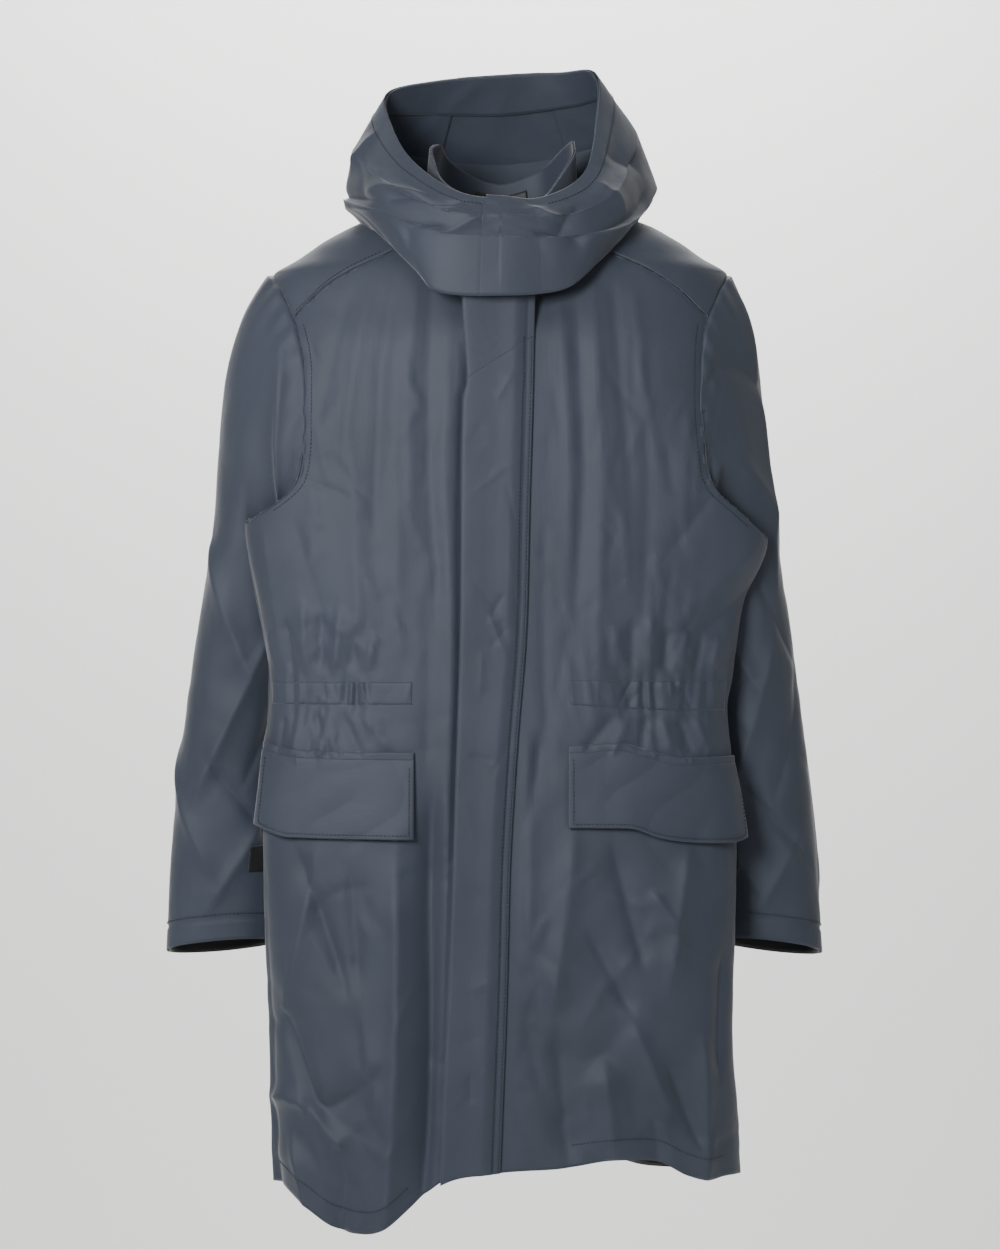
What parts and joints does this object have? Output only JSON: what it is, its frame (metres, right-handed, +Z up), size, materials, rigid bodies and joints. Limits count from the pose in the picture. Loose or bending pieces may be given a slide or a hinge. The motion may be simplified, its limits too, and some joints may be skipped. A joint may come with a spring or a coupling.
{
  "type": "foul weather jacket",
  "caption": "Knee-length hooded foul weather jacket in slate blue cloth, with a covered zip front, gathered waist channels and large flapped pockets, as it hangs from its shoulders.",
  "frame": {"origin": "Middle of the neck opening, level with the back neck seam, where the neck of a hanger comes through.", "axes": "+Z up along the coat, +Y to the wearer's back, +X to the wearer's left; the front faces -Y."},
  "size_m": [0.664, 0.2348, 1.1371],
  "materials": {
    "shell_cloth": "matte",
    "black_lining": "satin",
    "black_tape": "matte",
    "black_webbing": "matte",
    "elastic": "matte",
    "label_cloth": "satin",
    "black_plastic": "matte",
    "snap_metal": "satin"
  },
  "bodies": {
    "root": {"right_front_panel": "shell_cloth", "left_front_panel": "shell_cloth", "back_yoke": "shell_cloth", "back_panel": "shell_cloth", "back_lining": "black_lining", "right_front_facing": "shell_cloth", "right_hem_facing": "shell_cloth", "left_front_facing": "shell_cloth", "left_hem_facing": "shell_cloth", "back_hem_facing": "shell_cloth", "zip_teeth_right": "black_plastic", "zip_tape_right": "black_tape", "zip_teeth_left": "black_plastic", "zip_tape_left": "black_tape", "zip_box": "snap_metal", "throat_guard": "shell_cloth", "inner_wind_flap": "shell_cloth", "stud_1": "snap_metal", "stud_2": "snap_metal", "stud_3": "snap_metal", "stud_4": "snap_metal", "stud_5": "snap_metal", "right_waist_elastic": "elastic", "right_waist_channel": "shell_cloth", "right_pocket_welt": "shell_cloth", "right_pocket_bag": "shell_cloth", "left_waist_elastic": "elastic", "left_waist_channel": "shell_cloth", "left_pocket_welt": "shell_cloth", "left_pocket_bag": "shell_cloth", "stand_collar": "shell_cloth", "collar_lining": "black_lining", "hang_loop": "black_tape", "neck_label": "label_cloth"},
    "storm_fly": {"storm_fly": "shell_cloth", "stud_socket_1": "snap_metal", "stud_socket_2": "snap_metal", "stud_socket_3": "snap_metal", "stud_socket_4": "snap_metal", "stud_socket_5": "snap_metal"},
    "zip_slider": {"zip_slider": "snap_metal", "zip_puller": "snap_metal"},
    "right_pocket_flap": {"right_pocket_flap": "shell_cloth"},
    "right_sleeve": {"right_sleeve": "shell_cloth", "right_cuff_facing": "shell_cloth"},
    "right_cuff_tab": {"right_cuff_tab": "black_webbing"},
    "left_pocket_flap": {"left_pocket_flap": "shell_cloth"},
    "left_sleeve": {"left_sleeve": "shell_cloth", "left_cuff_facing": "shell_cloth"},
    "left_cuff_tab": {"left_cuff_tab": "black_webbing"},
    "hood": {"hood_left_side": "shell_cloth", "hood_centre_panel": "shell_cloth", "hood_right_side": "shell_cloth", "hood_facing": "shell_cloth", "hood_zip_tape": "black_tape", "hood_zip_slider": "snap_metal"},
    "throat_flap": {"throat_flap": "shell_cloth"}
  },
  "joints": [
    {"name": "fly_opens", "type": "hinge", "parent": "root", "child": "storm_fly", "pos_m": [0.03507, -0.0998, -0.104], "axis": [0.0385, 0, 0.9993], "range_deg": [0, 150]},
    {"name": "zip_runs", "type": "slide", "parent": "root", "child": "zip_slider", "axis": [-0.0313, 0, -0.9995], "range_m": [0, 0.778]},
    {"name": "right_flap_lifts", "type": "hinge", "parent": "root", "child": "right_pocket_flap", "pos_m": [-0.16456, -0.09116, -0.5296], "axis": [-0.9465, 0.3226, 0], "range_deg": [0, 120]},
    {"name": "right_sleeve_swings", "type": "hinge", "parent": "root", "child": "right_sleeve", "pos_m": [-0.21486, 0, -0.05256], "axis": [0, 1, 0], "range_deg": [0, 60]},
    {"name": "right_cuff_tab_opens", "type": "hinge", "parent": "right_sleeve", "child": "right_cuff_tab", "pos_m": [-0.23776, 0.00789, -0.63812], "axis": [0, 0, -1], "range_deg": [0, 45]},
    {"name": "left_flap_lifts", "type": "hinge", "parent": "root", "child": "left_pocket_flap", "pos_m": [0.15625, -0.09371, -0.5296], "axis": [-0.954, -0.2999, 0], "range_deg": [0, 120]},
    {"name": "left_sleeve_swings", "type": "hinge", "parent": "root", "child": "left_sleeve", "pos_m": [0.21494, 0, -0.05256], "axis": [0, -1, 0], "range_deg": [0, 60]},
    {"name": "left_cuff_tab_opens", "type": "hinge", "parent": "left_sleeve", "child": "left_cuff_tab", "pos_m": [0.23776, 0.00789, -0.63812], "axis": [0, 0, 1], "range_deg": [0, 45]},
    {"name": "hood_folds_back", "type": "hinge", "parent": "root", "child": "hood", "pos_m": [0, 0.099, 0], "axis": [-1, 0, 0], "range_deg": [0, 50]},
    {"name": "throat_flap_opens", "type": "hinge", "parent": "hood", "child": "throat_flap", "pos_m": [0.0569, -0.1218, -0.02], "axis": [0, 0, 1], "range_deg": [0, 110]}
  ]
}
